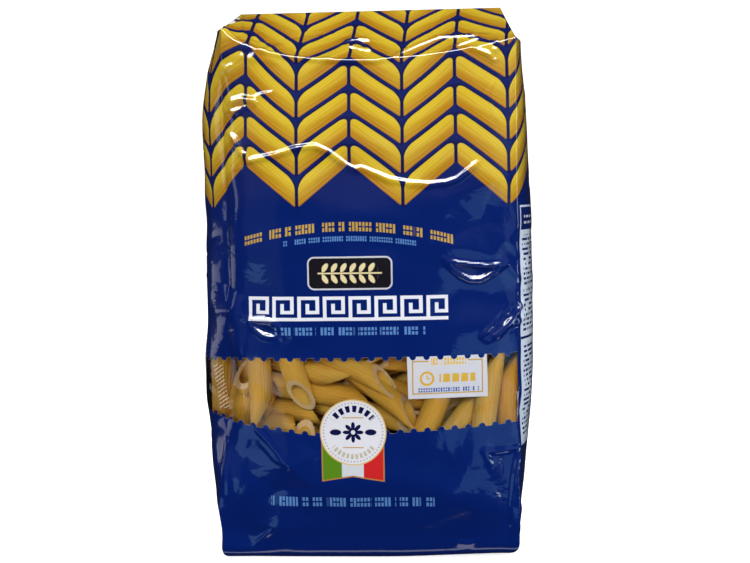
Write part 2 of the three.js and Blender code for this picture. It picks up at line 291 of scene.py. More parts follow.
def lumps(u, v):
    """The pasta inside pressing softly on the film."""
    dice = np.random.default_rng(5)
    raised = np.zeros(u.shape)
    for _ in range(16):
        heading = dice.uniform(0, 2 * math.pi)
        pitch = dice.uniform(14, 30)
        phase = dice.uniform(0, 2 * math.pi)
        wave = (u * math.cos(heading) + v * math.sin(heading)) * 2 * math.pi / pitch + phase
        raised = raised + np.sin(wave)
    return 0.05 * raised * eased(v, 2, 20) * (1 - eased(v, 120, 165))


def relief(u, v):
    """How far the film stands off its smooth form, in mm."""
    raised = crinkles(u, v) + lumps(u, v)
    edge = np.clip(u, -PANEL_HALF, PANEL_HALF)
    seen_x = film_form(edge, v)[..., 0] + u - edge
    for height, half_width, points in CREASES:
        raised = raised + crest(seen_x, v, height, half_width, points)
    for height, apex, rim in FACETS:
        raised = raised + facet(seen_x, v, height, apex, rim)
    return raised * eased(v, 0, 4) * (1 - eased(v, 203, RIDGE_PLACE))


def film_surface(u, v):
    """The creased film and its outward directions, in mm, on a grid of places."""
    form = film_form(u, v)
    outward = np.cross(np.gradient(form, axis=1), np.gradient(form, axis=0))
    length = np.linalg.norm(outward, axis=-1, keepdims=True)
    outward = outward / np.maximum(length, 1e-9)
    return form + outward * relief(u, v)[..., None], outward


# Mesh helpers


def add_object(name, data):
    """Puts a new object in the scene."""
    made = bpy.data.objects.new(name, data)
    bpy.context.scene.collection.objects.link(made)
    return made


def sheet(name, columns, rows, place):
    """A grid of columns and rows, laid in space by place(u, v) in mm, with u and v as its UV map."""
    bm = bmesh.new()
    bmesh.ops.create_grid(bm, x_segments=len(columns) - 1, y_segments=len(rows) - 1, size=1, calc_uvs=False)
    mesh = bpy.data.meshes.new(name)
    bm.to_mesh(mesh)
    bm.free()
    flat = np.empty(len(mesh.vertices) * 3)
    mesh.vertices.foreach_get("co", flat)
    flat = flat.reshape(-1, 3)
    column = np.rint((flat[:, 0] + 1) / 2 * (len(columns) - 1)).astype(int)
    row = np.rint((flat[:, 1] + 1) / 2 * (len(rows) - 1)).astype(int)
    u, v = np.meshgrid(np.asarray(columns, float), np.asarray(rows, float))
    placed = place(u, v)[row, column]
    mesh.vertices.foreach_set("co", (placed * MM).ravel())
    corners = np.empty(len(mesh.loops), int)
    mesh.loops.foreach_get("vertex_index", corners)
    flat_map = np.stack([u[row, column], v[row, column]], axis=-1)[corners]
    mesh.uv_layers.new(name="film").data.foreach_set("uv", flat_map.ravel())
    mesh.update()
    return add_object(name, mesh)


def measure_along(piece, columns, rows):
    """Turns u in the film's UV map into lengths along its smooth form, so that print keeps its size."""
    u, v = np.meshgrid(columns, rows)
    steps = np.linalg.norm(np.diff(film_form(u, v), axis=1), axis=-1)
    along = np.pad(np.cumsum(steps, axis=1), ((0, 0), (1, 0)))
    along = along - along[:, [np.searchsorted(columns, -0.001)]]
    layer = piece.data.uv_layers["film"].data
    places = np.empty(len(piece.data.loops) * 2)
    layer.foreach_get("uv", places)
    places = places.reshape(-1, 2)
    column = np.searchsorted(columns, places[:, 0] - 0.001)
    row = np.searchsorted(rows, places[:, 1] - 0.001)
    places[:, 0] = along[row, column]
    layer.foreach_set("uv", places.ravel())


def tidy_mesh(piece, merge=0.00001, outward=True):
    """Merges doubles, turns the faces outward and shades them smooth."""
    bm = bmesh.new()
    bm.from_mesh(piece.data)
    bmesh.ops.remove_doubles(bm, verts=bm.verts, dist=merge)
    bmesh.ops.dissolve_degenerate(bm, edges=bm.edges, dist=merge / 4)
    if outward:
        bmesh.ops.recalc_face_normals(bm, faces=bm.faces)
    for face in bm.faces:
        face.smooth = True
    bm.to_mesh(piece.data)
    bm.free()


def spread(*runs):
    """One list of places from runs of (start, end, how many steps)."""
    places = [np.linspace(start, end, steps, endpoint=False) for start, end, steps in runs]
    return np.append(np.concatenate(places), runs[-1][1])


# Shader maths


def ink(red, green, blue):
    """A colour given as a screen shows it, 0 to 255, turned to the shader's linear values."""
    parts = [part / 255 for part in (red, green, blue)]
    linear = [part / 12.92 if part <= 0.04045 else ((part + 0.055) / 1.055) ** 2.4 for part in parts]
    return (*linear, 1.0)


class Value:
    """A number that varies over a surface. Arithmetic on it adds Math nodes to its finish."""

    def __init__(self, finish, socket):
        self.finish = finish
        self.socket = socket

    def __add__(self, other):
        return self.finish.math("ADD", self, other)

    def __sub__(self, other):
        return self.finish.math("SUBTRACT", self, other)

    def __rsub__(self, other):
        return self.finish.math("SUBTRACT", other, self)

    def __mul__(self, other):
        return self.finish.math("MULTIPLY", self, other)

    def __truediv__(self, other):
        return self.finish.math("DIVIDE", self, other)

    def __mod__(self, other):
        return self.finish.math("FLOORED_MODULO", self, other)

    def __abs__(self):
        return self.finish.math("ABSOLUTE", self)

    def __and__(self, other):
        return self.finish.math("MINIMUM", self, other)

    def __or__(self, other):
        return self.finish.math("MAXIMUM", self, other)


class Finish:
    """A material and the nodes that make it."""

    def __init__(self, name):
        self.material = bpy.data.materials.new(name)
        self.material.use_nodes = True
        self.tree = self.material.node_tree
        self.tree.nodes.clear()
        self.output = self.node("ShaderNodeOutputMaterial")

    def node(self, kind, settings=None, values=None):
        """Adds a node: its settings first, then numbers or links for its sockets."""
        made = self.tree.nodes.new(kind)
        for name, setting in (settings or {}).items():
            setattr(made, name, setting)
        for name, value in (values or {}).items():
            self.join(value, made.inputs[name])
        return made

    def join(self, value, socket):
        """Links a value to a socket, or sets the socket to a plain number or colour."""
        if isinstance(value, Value):
            value = value.socket
        if isinstance(value, bpy.types.NodeSocket):
            self.tree.links.new(value, socket)
        else:
            socket.default_value = value

    def math(self, operation, *values, clamp=False):
        numbered = dict(enumerate(values))
        made = self.node("ShaderNodeMath", {"operation": operation, "use_clamp": clamp}, numbered)
        return Value(self, made.outputs[0])

    def below(self, value, edge, soft=0.12):
        """1 where the value is under the edge, 0 over it."""
        return self.math("MULTIPLY_ADD", value, -1 / soft, 0.5 + edge / soft, clamp=True)

    def above(self, value, edge, soft=0.12):
        """1 where the value is over the edge, 0 under it."""
        return self.math("MULTIPLY_ADD", value, 1 / soft, 0.5 - edge / soft, clamp=True)

    def band(self, value, low, high, soft=0.12):
        """1 between two numbers, 0 outside them."""
        return self.below(abs(value - (low + high) / 2), (high - low) / 2, soft)

    def box(self, u, v, left, right, bottom, top, soft=0.12):
        return self.band(u, left, right, soft) & self.band(v, bottom, top, soft)

    def reach(self, u, v):
        """The distance of a place from nought."""
        return self.math("SQRT", u * u + v * v)

    def mix(self, share, first, second):
        """The first colour where the share is 0, the second where it is 1."""
        settings = {"data_type": "RGBA", "clamp_factor": True}
        made = self.node("ShaderNodeMix", settings, {0: share, 6: first, 7: second})
        return made.outputs[2]

    def places(self, name):
        """The u and v of a UV map, and the map itself."""
        flat = self.node("ShaderNodeUVMap", {"uv_map": name}).outputs["UV"]
        parts = self.node("ShaderNodeSeparateXYZ", values={"Vector": flat})
        return Value(self, parts.outputs["X"]), Value(self, parts.outputs["Y"]), flat

    def spot(self, u, v):
        """A place vector from two numbers."""
        made = self.node("ShaderNodeCombineXYZ", values={"X": u, "Y": v})
        return made.outputs["Vector"]

    def noise(self, vector, scale, detail, roughness=0.5, distortion=0.0):
        values = {"Vector": vector, "Scale": scale, "Detail": detail}
        values |= {"Roughness": roughness, "Distortion": distortion}
        return Value(self, self.node("ShaderNodeTexNoise", values=values).outputs["Fac"])

    def chance(self, u, v):
        """A random number for each whole cell of u and v."""
        cell = self.spot(self.math("FLOOR", u), self.math("FLOOR", v))
        made = self.node("ShaderNodeTexWhiteNoise", {"noise_dimensions": "2D"}, {"Vector": cell})
        return Value(self, made.outputs["Value"])

    def bump(self, height, distance):
        values = {"Height": height, "Distance": distance, "Strength": 1.0}
        return self.node("ShaderNodeBump", values=values).outputs["Normal"]

    def principled(self, values):
        return self.node("ShaderNodeBsdfPrincipled", values=values).outputs["BSDF"]

    def finish(self, shader):
        self.tree.links.new(shader, self.output.inputs["Surface"])
        return self.material


# Printed film

NAVY = ink(0, 27, 98)
GOLD = ink(184, 150, 66)
PALE_BLUE = ink(90, 138, 198)
WHITE = ink(222, 224, 234)
DARK_NAVY = ink(14, 16, 66)
SMALL_PRINT = ink(40, 48, 110)


def wrinkled(finish, flat):
    """The fine slackness of thin film, as a normal."""
    broad = finish.noise(flat, 0.11, 3.0, 0.55, 0.6)
    fine = finish.noise(flat, 0.55, 2.0, 0.5)
    return finish.bump(broad + fine * 0.05, 0.0002)


def glossy_print(finish, colour, normal, coat=1.0):
    """Ink under a glossy plastic film, with the white backing of the ink on the inside."""
    inside = finish.node("ShaderNodeNewGeometry").outputs["Backfacing"]
    colour = finish.mix(inside, colour, ink(232, 228, 218))
    values = {"Base Color": colour, "Roughness": 0.22, "Coat Weight": coat, "Coat Roughness": 0.05}
    values |= {"Coat IOR": 1.5, "Specular IOR Level": 0.2, "Normal": normal, "Coat Normal": normal}
    return finish.principled(values)


def herringbone(finish, u, v):
    """Rows of slanted rounded bars in columns that meet in points, from just over the front's middle up."""
    width, pitch, half_bar, half_length = 18.1, 10.9, 4.4, 8.45
    column = finish.math("PINGPONG", u - 13.9 + 20 * width, width)
    level = v - column * 0.84 - 124.4
    row = level % pitch
    radius = finish.above(row, half_bar, 0.5) * 2.3 + 0.7
    side = finish.math("MAXIMUM", abs(column - width / 2) - half_length + radius, 0.0)
    rise = finish.math("MAXIMUM", abs(row - half_bar) - half_bar + radius, 0.0)
    apart = finish.reach(side, rise) - radius
    over = finish.above(level, -0.2, 0.3)
    bar = finish.below(apart, 0.0, 0.25) & over
    rim = finish.below(apart, 0.85, 0.7) & over
    grain = finish.noise(finish.spot(column * 0.05, row * 1.3), 1.0, 2.0)
    shade = finish.math("MULTIPLY_ADD", row, 0.145, -0.12, clamp=True)
    gold = finish.mix(shade, ink(160, 104, 6), ink(200, 172, 30))
    gold = finish.mix(finish.above(grain, 0.56, 0.22) * 0.45, gold, ink(216, 192, 68))
    ground = finish.mix(finish.above(v, 132, 18), NAVY, ink(12, 26, 90))
    return finish.mix(bar, finish.mix(rim, ground, DARK_NAVY), gold)


def upper_film():
    finish = Finish("printed film, herringbone")
    u, v, flat = finish.places("film")
    colour = herringbone(finish, u, v)
    return finish.finish(glossy_print(finish, colour, wrinkled(finish, flat)))


def meander(finish, u, v):
    """A key-fret band: a square spiral repeated along u, 8.4 mm tall."""
    u = u + 40.6
    cell = u % 8.85
    level = v - 86.0
    strokes = [
        (0.0, 1.25, 0.0, 8.4),
        (0.0, 7.6, 7.25, 8.4),
        (6.35, 7.6, 2.4, 8.4),
        (2.9, 7.6, 2.4, 3.55),
        (2.9, 4.15, 2.4, 5.9),
    ]
    line = finish.band(level, 0.0, 1.15)
    for left, right, bottom, top in strokes:
        line = line | finish.box(cell, level, left, right, bottom, top)
    return line & finish.band(u, 0.0, 69.4)


def dashes(finish, along, across, pitch, low, high, seed):
    """A row of short upright strokes, some of them split, as small print looks from afar."""
    draw = finish.chance(along / pitch + seed, seed)
    stroke = finish.below(along % pitch, pitch * 0.68, pitch * 0.08) & finish.above(draw, 0.12, 0.02)
    split = finish.below(abs(across - (low + high) / 2), (high - low) * 0.09) & finish.above(draw, 0.45, 0.02)
    return stroke & finish.band(across, low, high) & (1 - split)


def wheat_ear(finish, u, v):
    """A lying ear of wheat: paired grains along a stem."""
    side = abs(v)
    place = u % 3.2 - 1.0
    lean = place * 0.82 - (side - 1.9) * 0.57
    reach = place * 0.57 + (side - 1.9) * 0.82
    grain = finish.below(finish.reach(lean / 0.85, reach / 1.75), 1.0, 0.2)
    grain = grain & finish.band(u, -9.6, 9.6)
    stem = finish.box(u, side, -11.0, 11.0, -0.5, 0.26)
    return grain | stem


def plate(finish, u, v, colour):
    """The print with a plain dark plate on it: a pale rim, rounded corners and an ear of wheat."""
    radius = 2.4
    side = finish.math("MAXIMUM", abs(u) - 14.6 + radius, 0.0)
    rise = finish.math("MAXIMUM", abs(v) - 5.7 + radius, 0.0)
    apart = finish.reach(side, rise) - radius
    colour = finish.mix(finish.below(apart, 0.0), colour, ink(196, 198, 206))
    colour = finish.mix(finish.below(apart, -0.55), colour, ink(24, 22, 28))
    return finish.mix(wheat_ear(finish, u, v), colour, ink(222, 206, 160))


def front_print():
    finish = Finish("printed film, front")
    u, v, flat = finish.places("film")
    off_middle = u + 5.8
    arc = v + off_middle * off_middle * 0.0037
    gold = dashes(finish, u, arc - 118.2, 1.15, -1.55, 1.55, 3) & finish.band(u, -42.0, 31.1)
    gold = gold & finish.above(off_middle % 9.2, 1.3)
    colour = finish.mix(gold, NAVY, GOLD)
    arc = v + off_middle * off_middle * 0.0034
    small = dashes(finish, u, arc - 114.1, 0.8, -0.85, 0.85, 7) & finish.band(u, -27.5, 18.4)
    colour = finish.mix(small * 0.8, colour, PALE_BLUE)
    colour = plate(finish, u + 4.6, v - 102.3, colour)
    colour = finish.mix(meander(finish, u, v), colour, WHITE)
    lower = dashes(finish, u, v - 82.4, 1.25, -1.35, 1.35, 11) & finish.band(u, -32.7, 21)
    lower = lower & finish.above((u + 32.7) % 7.4, 1.1)
    colour = finish.mix(lower * 0.85, colour, PALE_BLUE)
    foot = dashes(finish, u, v - 22.4, 1.2, -1.7, 1.7, 17) & finish.band(u, -34.2, 23.2)
    foot = foot & finish.above((u + 33.1) % 8.6, 1.3)
    colour = finish.mix(foot * 0.8, colour, PALE_BLUE)
    return finish.finish(glossy_print(finish, colour, wrinkled(finish, flat)))


def small_print(finish, u, v, left, right, bottom, top, colour, words, pitch=1.7):
    """The print with a block of lines of plain strokes, as small text looks from afar, inside a box."""
    line = (v - bottom) % pitch
    stroke = finish.above(finish.chance(u / 0.8, (v - bottom) / pitch), 0.3, 0.02)
    block = stroke & finish.band(line, 0.35, 1.2) & finish.box(u, v, left, right, bottom, top)
    return finish.mix(block, colour, words)


def side_print():
    """The info panels of the two gussets and the back."""
    finish = Finish("printed film, sides and back")
    u, v, flat = finish.places("film")
    on_left = finish.below(u, 0, 1)
    off = abs(u) - on_left * 13.0
    reach = 1 - (on_left & finish.above(v, 97))
    panel = finish.box(off, v, 54.9, 108.0, 41.0, 124.4) & reach
    colour = finish.mix(panel, NAVY, ink(214, 228, 246))
    header = finish.box(off, v, 55.5, 107.4, 115.9, 123.7) & reach
    colour = finish.mix(header, colour, NAVY)
    colour = small_print(finish, u, v, 58, 100, 117.6, 121.4, colour, WHITE, 2.1)
    colour = small_print(finish, off, v, 57, 105, 80.5, 96.0, colour, SMALL_PRINT)
    colour = small_print(finish, u, v, 57, 105, 96.5, 114.2, colour, SMALL_PRINT)
    colour = finish.mix(finish.box(off, v, 55, 107, 78.1, 79.0), colour, NAVY)
    colour = small_print(finish, off, v, 57, 105, 44, 76.6, colour, SMALL_PRINT)
    label = finish.box(off, v, 124.0, 160.0, 36.0, 108.0)
    colour = finish.mix(label, colour, ink(214, 226, 244))
    colour = small_print(finish, off, v, 127, 157, 40, 104, colour, SMALL_PRINT, 2.6)
    return finish.finish(glossy_print(finish, colour, wrinkled(finish, flat)))


def window_mask(finish, u, v):
    """1 on the print round the window, with its scalloped edges, and 0 on the clear film."""
    scallop = abs((u % 4.7) - 2.35)
    tooth = finish.math("SQRT", finish.math("MAXIMUM", 1.25 - scallop * scallop, 0.0))
    off = finish.math("MAXIMUM", u + 14, -44.0)
    foot = abs(off) * (finish.below(off, 0, 1) * 0.075 + 0.048) + off * off * 0.0002 + (WINDOW_BOTTOM - 0.3)
    drop = finish.math("MAXIMUM", -40 - u, 0.0) * 0.085
    head = (u + 18) * (u + 18) * 0.0002 + (WINDOW_TOP + 1.1) - drop
    open_here = finish.above(v - foot - tooth * 1.1, 0.0) & finish.below(v - head + tooth * 1.1, 0.0)
    return 1 - (open_here & finish.band(u, -70.0, 54.3, 0.4))


def card(finish, u, v, colour):
    """The print with a white card on it: a thin gold frame, a clock, bars and rows of strokes."""
    level = v - u * 0.018
    paper = finish.box(u - (v - 65) * -0.02, level, 13.4, 40.8, 58.5, 73.6)
    colour = finish.mix(paper, colour, ink(198, 199, 207))
    edge = finish.box(u, level, 14.9, 39.2, 60.0, 71.6)
    edge = edge & (1 - finish.box(u, level, 15.35, 38.75, 60.45, 71.15))
    edge = edge & (1 - finish.box(u, level, 20.5, 34.2, 70.5, 72.9))
    colour = finish.mix(edge, colour, GOLD)
    top = dashes(finish, u, level - 71.2, 1.0, -1.2, 1.2, 23) & finish.band(u, 21.4, 33.4)
    colour = finish.mix(top, colour, ink(214, 176, 60))
    around = finish.reach(u - 20.0, level - 65.4)
    clock = finish.band(around, 1.75, 2.5) | finish.box(u, level, 19.8, 20.2, 65.3, 66.7)
    clock = clock | finish.box(u, level, 19.8, 21.2, 65.2, 65.6)
    bars = finish.box(u, level, 24.2, 36.6, 64.0, 66.9) & finish.above(u % 3.1, 0.7)
    colour = finish.mix(clock | bars, colour, ink(206, 164, 44))
    small = dashes(finish, u, level - 61.4, 0.85, -0.75, 0.75, 29) & finish.band(u, 17.0, 37.8)
    return finish.mix(small, colour, ink(70, 92, 160)), paper


def ribbon(finish, u, v, colour):
    """The print with a three-coloured ribbon on it, under the round seal."""
    across = u + 4.7
    foot = 32.3 - abs(across) * 0.17
    down = finish.above(v - foot, 0.0) & finish.below(v, 47.0)
    outline = finish.above(v - foot, -0.45) & finish.below(v, 47.0) & finish.below(abs(across), 10.9)
    cloth = down & finish.below(abs(across), 10.45)
    tint = finish.mix(finish.above(across, -3.9), ink(84, 130, 24), ink(200, 203, 212))
    tint = finish.mix(finish.above(across, 3.7), tint, ink(196, 34, 36))
    colour = finish.mix(outline, colour, ink(176, 122, 56))
    return finish.mix(cloth, colour, tint), outline


def seal(finish, u, v, colour):
    """The print with a round seal on it: a gold rim, dots, arcs of strokes and a plain rosette."""
    du, dv = u + 4.5, v - 47.3
    around = finish.reach(du, dv)
    angle = finish.math("ARCTAN2", dv, du)
    disc = finish.below(around, 11.5)
    colour = finish.mix(disc, colour, ink(214, 184, 120))
    colour = finish.mix(finish.below(around, 11.05), colour, ink(214, 214, 222))
    dots = finish.band(around, 10.0, 10.5) & finish.above(finish.math("SINE", angle * 56), 0.1, 0.5)
    colour = finish.mix(dots * 0.6, colour, ink(120, 110, 130))
    strokes = finish.above(finish.math("SINE", angle * 22.0), -0.35, 0.3)
    upper = finish.band(around, 7.1, 9.4) & strokes & finish.band(angle, 0.62, 2.52)
    colour = finish.mix(upper, colour, DARK_NAVY)
    lower = finish.band(around, 7.6, 9.3) & finish.above(finish.math("SINE", angle * 34.0), -0.3, 0.4)
    colour = finish.mix((lower & finish.band(angle, -2.5, -0.64)) * 0.75, colour, ink(170, 160, 120))
    rules = finish.band(abs(dv + 0.1), 5.0, 5.4) & finish.below(abs(du), 3.6)
    colour = finish.mix(rules, colour, ink(186, 156, 92))
    petal = finish.math("ABSOLUTE", finish.math("COSINE", angle * 4.0)) * 2.1 + 1.5
    rosette = finish.above(petal - around, 0.0) & finish.above(around, 0.75)
    leaf = finish.below(finish.reach((abs(du) - 6.1) / 2.0, dv / 1.05), 1.0, 0.15)
    return finish.mix(rosette | leaf, colour, DARK_NAVY), disc


def clear_strokes(finish, u, v):
    """A slanting row of short pale strokes at the left end of the clear film."""
    across = u + 57.5 - (68.8 - v) * 0.26
    stroke = finish.below((v - across * 0.5) % 1.28, 0.45, 0.2)
    return stroke & finish.band(across, -2.6, 2.6, 0.4) & finish.band(v, 54, 69.5, 0.4)


def window_film():
    """The window's stretch of the film: clear in the window, printed round it."""
    finish = Finish("window film")
    u, v, flat = finish.places("film")
    printed = window_mask(finish, u, v)
    colour, paper = card(finish, u - 1.2, v, NAVY)
    teeth = finish.below(v, WINDOW_TOP + 1.2) | finish.below(abs(u - 28.2), 14.4)
    tips = printed & finish.above(v, 70) & teeth
    colour = finish.mix(tips, colour, NAVY)
    colour, cloth = ribbon(finish, u, v, colour)
    colour, disc = seal(finish, u, v, colour)
    printed = printed | paper | cloth | disc
    strokes = clear_strokes(finish, u, v)
    colour = finish.mix(printed, ink(255, 250, 244), colour)
    printed = printed | (strokes * 0.3)
    normal = wrinkled(finish, flat)
    print_shader = glossy_print(finish, colour, normal)
    return finish.finish(over_clear(finish, printed, print_shader, normal))


def over_clear(finish, printed, print_shader, normal):
    """Clear glossy film, with print over it where the mask says so."""
    gloss = finish.node("ShaderNodeBsdfGlossy", values={"Roughness": 0.06, "Normal": normal})
    clear = finish.node("ShaderNodeBsdfTransparent", values={"Color": (0.97, 0.97, 0.97, 1)})
    fresnel = finish.node("ShaderNodeFresnel", values={"IOR": 1.55, "Normal": normal})
    layers = {0: fresnel.outputs[0], 1: clear.outputs[0], 2: gloss.outputs[0]}
    film = finish.node("ShaderNodeMixShader", values=layers)
    both = finish.node("ShaderNodeMixShader", values={0: printed, 1: film.outputs[0], 2: print_shader})
    return both.outputs[0]


def plain_film(name, coat=1.0):
    """Plain navy film with no print on it, for the base, the flap and the back seam."""
    finish = Finish(name)
    _, _, flat = finish.places("film")
    cloud = finish.noise(flat, 0.05, 2.0)
    colour = finish.mix(cloud, NAVY, ink(6, 32, 118))
    return finish.finish(glossy_print(finish, colour, wrinkled(finish, flat), coat))


# The film bag and its seams

# The film's finishes in the order of its slots, and where the front's ones end, in mm.
UPPER, FRONT, WINDOW, SIDES, PLAIN = range(5)
HERRINGBONE_FOOT = 122
PANEL_EDGES = (-58, 54.6)

# The flap and the back seam, in mm.
FLAP_LENGTH = 25.0
CRIMP_START = 13.0
CRIMP_PITCH = 1.35
SEAM_EDGE = 158.5
SEAM_THICKNESS = 0.25


def film_zone(u, v):
    """Which finish a place of the film has."""
    if v < 0 or v > RIDGE_PLACE:
        return PLAIN
    left, right = PANEL_EDGES
    if v > HERRINGBONE_FOOT and not (abs(u) > right and v < HERRINGBONE_FOOT + 2.8):
        return UPPER
    if left < u < right or (-72 < u < 0 and 40 < v < 78):
        return WINDOW if 28 < v < 78 else FRONT
    return SIDES


def make_film(finishes):
    """The whole film of the bag, with finer steps on the front, at the window and on the top."""
    fold = PANEL_HALF + GUSSET
    sides = (-ROUND_HALF, -fold, 16), (-fold, -57, 23)
    columns = spread(*sides, (-57, 57, 190), (57, fold, 23), (fold, ROUND_HALF, 16))
    walls = (BASE_EDGE_RADIUS, 75, 121), (75, 130, 95), (130, SHOULDER_HEIGHT, 90)
    top = (SHOULDER_HEIGHT, RIDGE_PLACE, 50), (RIDGE_PLACE, FILM_TOP, 1)
    rows = spread((-BASE_REACH, 0, 4), (0, BASE_EDGE_RADIUS, 6), *walls, *top)
    film = sheet("film_packet", columns, rows, lambda u, v: film_surface(u, v)[0])
    for finish in finishes:
        film.data.materials.append(finish)
    places = np.empty(len(film.data.loops) * 2)
    film.data.uv_layers["film"].data.foreach_get("uv", places)
    places = places.reshape(-1, 4, 2).mean(axis=1)
    zones = [film_zone(u, v) for u, v in places]
    film.data.polygons.foreach_set("material_index", zones)
    measure_along(film, columns, rows)
    tidy_mesh(film)
    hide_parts("film_bag")
    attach(film, BODY)


def flap_place(u, v):
    """The sealed flap folded down the back slope: u runs across, v down its outer side and back under it."""
    slope = math.radians(31)
    outer = v < FLAP_LENGTH
    down = np.where(outer, v, 2 * FLAP_LENGTH - v)
    crimped = eased(down, CRIMP_START + 0.5, CRIMP_START + 1.5)
    ribs = 0.28 * np.cos(down * 2 * math.pi / CRIMP_PITCH) * crimped
    wave = 0.35 * np.sin(u * 0.21 + 1.0) * eased(down, 3, FLAP_LENGTH) + 0.2 * np.sin(u * 0.47)
    lifted = 1.3 * eased(-u, 28, 44) * eased(down, 2, 14)
    thick = np.where(outer, 0.95, 0.25) * eased(down, 0, 4)
    off = wave * eased(down, 1, 8) + ribs + lifted + thick
    y = RIDGE_OFFSET + 1.4 + down * math.cos(slope) + off * math.sin(slope)
    z = TOTAL_HEIGHT - 0.1 - down * math.sin(slope) + off * math.cos(slope)
    x = RIDGE_SHIFT + u + 0.15 * np.sin(down * 0.9 + u)
    return np.stack([x, y, z], axis=-1)


def make_flap(finish):
    """The flap of the top seal, with finer steps on its crimp."""
    half_width = RIDGE_WIDTH / 2 - 0.5
    columns = spread((-half_width, half_width, 110))
    back_end = 2 * FLAP_LENGTH
    outer = (0, CRIMP_START, 14), (CRIMP_START, FLAP_LENGTH, 66)
    rows = spread(*outer, (FLAP_LENGTH, back_end - CRIMP_START, 66), (back_end - CRIMP_START, back_end, 14))
    flap = sheet("top_seal_flap", columns, rows, flap_place)
    flap.data.materials.append(finish)
    tidy_mesh(flap)
    close_ends(flap)
    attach(flap, BODY)


def make_back_seam(finish):
    """The lapped seam down the middle of the back."""
    columns = spread((SEAM_EDGE, ROUND_HALF, 12))
    rows = spread((2, 186, 184))

    def place(u, v):
        form, outward = film_surface(u, v)
        lift = 0.25 + 0.45 * eased(u, SEAM_EDGE, 161) + 0.08 * np.sin(v * 0.8) * eased(u, 158, 164)
        return form + outward * (lift * (1 - eased(u, 168.5, ROUND_HALF)))[..., None]

    seam = sheet("back_seam", columns, rows, place)
    seam.data.materials.append(finish)
    tidy_mesh(seam, outward=False)
    thicken = seam.modifiers.new("film thickness", "SOLIDIFY")
    thicken.thickness = SEAM_THICKNESS * MM
    thicken.offset = 0
    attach(seam, BODY)


# Penne

TUBE_RADIUS = 4.1
BORE_RADIUS = 2.75
TUBE_LENGTH = 33.0
CUT_SLANT = math.tan(math.radians(57))
RIB_DEPTH = 0.1
RIB_COUNT = 24
TUBE_SIDES = 96

# The least room between two tubes, and between a tube and the film, in mm.
TUBE_GAP = 0.15
FILM_GAP = 0.35

# The film's clearance is kept on grids of 1 mm, this far to each side of the middle and this high.
GRID_X = 60
GRID_Y = 35
GRID_HEIGHT = 150

# The room that the heap keeps to, in mm.
HEAP_RIGHT = 54.2
SEEDED_FRONT = -13.0
HEAP_BACK = 1.0
HEAP_BOTTOM = 10.0
HEAP_TOP = 112.0

# How often the tubes are pushed, and for how many of these times the near ones are held firmly.
PUSHES = 260
FIRM_PUSHES = 200

# The pieces at the front: x and z of the first end, heading, depth, lean, turn about the axis. All are
# seen through the window, but the last four, which lie below it and hold the others up.
NEAR_PENNE = [
    (-38.6, 52.5, 87, 5, 0, 100),
    (-20.5, 60, 110, 5, 3, -20),
    (-9.2, 66.6, 169, 6.5, 14, 250),
    (-1.7, 69.5, 24, 6.5, 8, 0),
    (6, 62.6, 157, 5.2, 9, 62),
    (-2.5, 60.8, 177, 9, 4, 140),
    (-19, 52, 189, 15.5, 0, 150),
    (-22.7, 43.6, 257, 5.2, 4, 0),
    (-15.3, 54.5, 349, 9.5, 2, 180),
    (-43.4, 65.9, 231, 8, 30, 30),
    (-44, 56.9, 213, 7, 24, 180),
    (-44.9, 66.9, 139, 11, 10, 90),
    (-32.6, 48.1, 182, 9.5, 6, 180),
    (14.6, 51.8, 144, 5.2, 6, 75),
    (20.2, 57.2, 164, 10, 2, 180),
    (17.5, 39.2, 69, 5.4, 5, 90),
    (25.2, 40, 51, 8, 5, 90),
    (39, 38.8, 80, 6.5, 2, 90),
    (49, 36.8, 91, 6.5, 0, 90),
    (-55, 80, 268, 21, 0, 90),
    (-54.5, 42, 88, 20, 0, 90),
    (12.7, 69.3, 199, 11, 2, 200),
    (34.7, 68.5, 175, 10.5, 2, 180),
    (-46, 36, 2, 12, 0, 40),
    (-10, 33, 10, 9, 0, 200),
    (14, 31, 358, 10, 2, 90),
    (-34, 26, 8, 14, 0, 10),
]


def front_of(x):
    """Where the front of the film is, in mm, at an x."""
    return -BODY_DEPTH / 2 - PANEL_BULGE * (1 - (x / (BODY_WIDTH / 2)) ** 2)


def clear_of_film(u_places, across, inward, places, beyond):
    """How near the film a tube's middle line may come along the inward axis.

    The grid has a column for each of the places on the across axis and a row for each 1 mm of height.
    """
    u, v = np.meshgrid(u_places, np.arange(0.0, GRID_HEIGHT))
    film, _ = film_surface(u, v)
    film = [np.interp(places, row[:, across], row[:, inward], left=beyond, right=beyond) for row in film]
    film = np.array(film)
    radius = TUBE_RADIUS + FILM_GAP
    limit = np.full(film.shape, -99.0)
    for dx in range(-4, 5):
        for dz in range(-4, 5):
            if dx * dx + dz * dz < radius * radius:
                shifted = np.roll(film, (dz, dx), axis=(0, 1))
                limit = np.maximum(limit, shifted + math.sqrt(radius * radius - dx * dx - dz * dz))
    return limit


def pointing(angle, tilt):
    """A direction at an angle in the plane of the front, tilted to the back."""
    return np.array([math.cos(angle) * math.cos(tilt), math.sin(tilt), math.sin(angle) * math.cos(tilt)])


